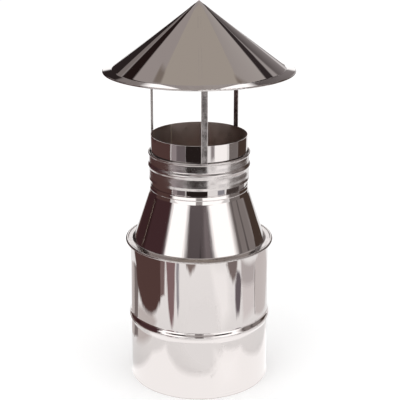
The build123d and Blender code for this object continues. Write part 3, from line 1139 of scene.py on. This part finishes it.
@dataclass
class WoolPacking:
    """The mineral wool: two half sleeves in the shell and a collar under the cone."""

    sleeve_inner_mm: float = 78.2
    sleeve_outer_mm: float = 107.9
    sleeve_low_mm: float = 120.6
    sleeve_high_mm: float = 226.5
    cone_inner_mm: float = 77.1
    cone_low_mm: float = 227.8
    cone_foot_mm: Pair = (101.9, 230.4)
    cone_top_mm: Pair = (77.9, 300.0)
    side_step_mm: float = 3.0
    turn_step: float = 2.5
    ruffle_mm: float = 1.1
    tuft_mm: float = 9.0
    strand_mm: float = 3.1
    strand_share: float = 0.6
    finish: MineralWool = MineralWool("pressed stone wool")

    def build(self) -> None:
        """Makes the three batts in place of the plain CAD solids."""
        wool = self.finish.build()
        inner, outer = self.sleeve_inner_mm, self.sleeve_outer_mm
        low, high = self.sleeve_low_mm, self.sleeve_high_mm
        sleeve = [(inner, low), (outer, low), (outer, high), (inner, high)]
        self.batt("wool_left_batt", sleeve, -179.6, -0.4, "wool_left", wool)
        self.batt("wool_right_batt", sleeve, 0.4, 179.6, "wool_right", wool)
        collar = [(self.cone_inner_mm, self.cone_low_mm), (self.cone_foot_mm[0], self.cone_low_mm),
                  self.cone_foot_mm, self.cone_top_mm, (self.cone_inner_mm, self.cone_top_mm[1])]
        self.batt("wool_cone_batt", collar, 0.0, 360.0, "wool_cone", wool)

    def batt(self, name: str, section: list[Pair], start: float, end: float, node: str,
             wool: bpy.types.Material) -> None:
        """Sweeps a section round the axis, with its surface ruffled inwards like felt.

        Args:
            name: The piece's name.
            section: The section's corners, as radius and height in millimetres.
            start: The azimuth where it starts.
            end: The azimuth where it ends.
            node: The CAD node that it stands for.
            wool: Its material.
        """
        outline = self.divided(section)
        middle = Vector((sum(p.x for p in outline), sum(p.y for p in outline))) / len(outline)
        whole = end - start >= 360
        steps = round((end - start) / self.turn_step)
        rings = steps if whole else steps + 1
        most = 1 + self.strand_share
        points = []
        for step in range(rings):
            turn = math.radians(start + (end - start) * step / steps)
            for p in outline:
                seed = Vector(round_axis(p.x, turn, p.y))
                tuft = (noise.noise(seed / self.tuft_mm)
                        + noise.noise(seed / self.strand_mm) * self.strand_share + most) / 2 / most
                q = p + (middle - p).normalized() * self.ruffle_mm * max(0.0, min(1.0, tuft))
                x, y, z = round_axis(q.x, turn, q.y)
                points.append((x * MM, y * MM, z * MM))
        faces = ring_faces(len(outline), rings, whole)
        piece = link_mesh(name, points, faces)
        piece.data.materials.append(wool)
        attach(piece, "terminal")
        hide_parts(node)
        log.info("made %s with %d faces", name, len(faces))

    def divided(self, section: list[Pair]) -> list[Vector]:
        """Divides a section's sides into short steps.

        Args:
            section: The section's corners in millimetres.

        Returns:
            Points about side_step_mm apart round it.
        """
        outline = []
        for i, corner in enumerate(section):
            a, b = Vector(corner), Vector(section[(i + 1) % len(section)])
            steps = max(1, round((b - a).length / self.side_step_mm))
            outline += [a.lerp(b, step / steps) for step in range(steps)]
        return outline


@dataclass
class ClampBand:
    """The clamp band, and the bolt, nut and washers at its closure."""

    closure_azimuth: float = -160.0
    bolt_axis_mm: float = 90.2
    bolt_z_mm: float = 352.0
    stack_end_mm: float = 8.6
    thread_mm: float = 2.95
    thread_root_mm: float = 2.4
    pitch_mm: float = 1.0
    tip_less_mm: float = 0.3
    tip_slope: float = 1.2
    thread_columns: int = 32
    rows_per_pitch: int = 8
    across_flats_mm: float = 10.0
    face_share: float = 0.95
    chamfer_deg: float = 30.0
    hexagon_columns: int = 96
    bore_gap_mm: float = 0.05
    bore_chamfer_mm: float = 0.4
    head_mm: float = 4.0
    nut_mm: float = 5.0
    tail_mm: float = 9.0
    sheet: PolishedSteel = PolishedSteel("satin stainless band", grain=Grain.AROUND,
                                         roughness=0.18, wave_mm=8.0, wave_height_mm=0.4,
                                         line_mm=1.2, line_height_mm=0.01)
    metal: TurnedSteel = TurnedSteel("turned stainless fastener")
    plain: TurnedSteel = TurnedSteel("punched stainless washer", ring_mm=0.6)

    def build(self) -> None:
        """Dresses the band and the washers, and makes the threaded bolt and the nut."""
        dress("clamp_band", self.sheet.build())
        dress("clamp_washers", self.plain.build())
        metal = self.metal.build()
        length = 2 * self.stack_end_mm + self.tail_mm
        head = self.hexagon(self.stack_end_mm, self.stack_end_mm + self.head_mm, False)
        shank = self.thread(self.stack_end_mm, -(length - self.stack_end_mm))
        self.fastener("clamp_bolt_threaded", [head, shank], "clamp_bolt", metal)
        nut = self.hexagon(-self.stack_end_mm - self.nut_mm, -self.stack_end_mm, True)
        self.fastener("clamp_nut_chamfered", [nut], "clamp_nut", metal)

    def fastener(self, name: str, shells: list[Shell], node: str,
                 metal: bpy.types.Material) -> None:
        """Joins shells into one piece on the bolt's axis.

        Args:
            name: The piece's name.
            shells: Points in millimetres and faces of each shell, along +Z.
            node: The CAD node that it stands for.
            metal: Its material.
        """
        points, faces = [], []
        for shell_points, shell_faces in shells:
            base = len(points)
            points += [(x * MM, y * MM, z * MM) for x, y, z in shell_points]
            faces += [tuple(base + i for i in face) for face in shell_faces]
        piece = link_mesh(name, points, faces, smooth=False)
        piece.matrix_world = (at_azimuth(self.closure_azimuth)
                              @ Matrix.Translation((self.bolt_axis_mm * MM, 0,
                                                    self.bolt_z_mm * MM))
                              @ Matrix.Rotation(math.radians(-90), 4, "X"))
        piece.data.materials.append(metal)
        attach(piece, "rain_cap")
        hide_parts(node)
        log.info("made %s with %d faces", name, len(faces))

    def hexagon(self, low: float, high: float, bored: bool) -> Shell:
        """A hexagonal head or nut, its corners chamfered on a cone at each free end.

        Args:
            low: Where it starts along the axis.
            high: Where it ends.
            bored: Whether it has a bore, and both ends are chamfered.

        Returns:
            Points and faces.
        """
        flat = self.across_flats_mm / 2
        face = flat * self.face_share
        slope = math.tan(math.radians(self.chamfer_deg))
        bore, edge = self.thread_mm + self.bore_gap_mm, self.bore_chamfer_mm
        # Each ring gives a radius and a height, from how far out the hexagon reaches there.
        rings: list[Callable[[float], Pair]] = [
            lambda out: (face, high), lambda out: (out, high - (out - face) * slope),
            lambda out: (out, low + (out - face) * slope * bored), lambda out: (face, low)]
        if bored:
            rings = [lambda out: (bore, low + edge), lambda out: (bore, high - edge),
                     lambda out: (bore + edge, high), *rings, lambda out: (bore + edge, low)]
        points = []
        for ring in rings:
            for i in range(self.hexagon_columns):
                turn = math.tau * i / self.hexagon_columns
                lean = (turn + math.pi / 6) % (math.pi / 3) - math.pi / 6
                r, z = ring(flat / math.cos(lean))
                points.append((r * math.cos(turn), r * math.sin(turn), z))
        return points, ring_faces(self.hexagon_columns, len(rings), bored)

    def thread(self, start: float, end: float) -> Shell:
        """A threaded shank with a chamfered tip, as one helical surface.

        Args:
            start: Where it leaves the head.
            end: Its tip.

        Returns:
            Points and faces.
        """
        around = self.thread_columns
        rows = round(abs(end - start) / self.pitch_mm * self.rows_per_pitch)
        tip = self.thread_root_mm - self.tip_less_mm
        points = []
        for row in range(rows + 1):
            z = start + (end - start) * row / rows
            crest = min(self.thread_mm, tip + abs(z - end) * self.tip_slope)
            for i in range(around):
                phase = (z / self.pitch_mm + i / around) % 1.0
                depth = abs(phase * 2 - 1)
                r = self.thread_root_mm + (self.thread_mm - self.thread_root_mm) * depth
                r = min(r, crest)
                turn = math.tau * i / around
                points.append((r * math.cos(turn), r * math.sin(turn), z))
        return points, ring_faces(around, rows + 1, False)


@dataclass
class Legs:
    """The three flat legs and their spot welds."""

    azimuths: dict[str, float] = field(
        default_factory=lambda: {"front": 6.0, "right": 130.0, "left": -105.0})
    # Painted light: the left leg's strip is painted much lighter than the other two, a lit copy of
    # the same strip.
    tones: dict[str, dict[str, str]] = field(
        default_factory=lambda: {"left": {"dark": "#D8D2D0", "light": "#F2EEEC"}})
    inner_mm: float = 76.1
    thickness_mm: float = 1.1
    band_spots_mm: Pair = (341.0, 362.0)
    tab_runs_mm: Pair = (9.0, 19.0)
    hat_angle: float = 37.7
    tab_top_mm: float = 546.97
    weld: WeldMetal = WeldMetal("spot weld nugget", ripple_mm=1.6)

    def build(self) -> None:
        """Dresses the legs and the spot welds."""
        for name, azimuth in self.azimuths.items():
            # A leg listed in tones takes its own painted-light shades of the strip.
            strip = RolledStrip(f"rolled stainless strip {name}", azimuth,
                                spots_mm=tuple(self.spots(azimuth)), **self.tones.get(name, {}))
            dress("leg_" + name, strip.build())
        dress("leg_welds", self.weld.build())

    def spots(self, azimuth: float) -> list[Point]:
        """Where the electrodes pressed on a leg's free faces.

        Args:
            azimuth: The leg's azimuth.

        Returns:
            The four places in millimetres.
        """
        places = [(self.inner_mm, z) for z in self.band_spots_mm]
        slope = math.radians(self.hat_angle)
        for run in self.tab_runs_mm:
            out, down = run * math.cos(slope), run * math.sin(slope)
            places.append((self.inner_mm + out - self.thickness_mm * math.sin(slope),
                           self.tab_top_mm - down - self.thickness_mm * math.cos(slope)))
        turn = math.radians(azimuth)
        return [round_axis(r, turn, z) for r, z in places]


@dataclass
class Hat:
    """The conical hat and its weld."""

    sheet: PolishedSteel = PolishedSteel("polished stainless hat", grain=Grain.RADIAL)
    seam: Seam = Seam("hat_seam", "hat_weld", "rain_cap", 1.0, (123.78, 511.33), (6.66, 601.86),
                      4.5, 0.07, 0.0,
                      PolishedSteel("polished weld of the hat", roughness=0.05,
                                    grain=Grain.RADIAL))

    def build(self) -> None:
        """Dresses the hat and makes its seam."""
        dress("hat", self.sheet.build())
        self.seam.build()


def main() -> None:
    """Builds the view, the studio and the cap."""
    logging.basicConfig(level=logging.INFO, format="%(name)s: %(message)s")
    View().build()
    Studio().build()
    for part in (ShellPipe(), ConeCover(), FlueLiner(), WoolPacking(), ClampBand(), Legs(), Hat()):
        part.build()
        log.info("finished %s", type(part).__name__)
    settings = bpy.context.scene.view_settings
    settings.view_transform = "Standard"


if __name__ == "__main__":
    main()
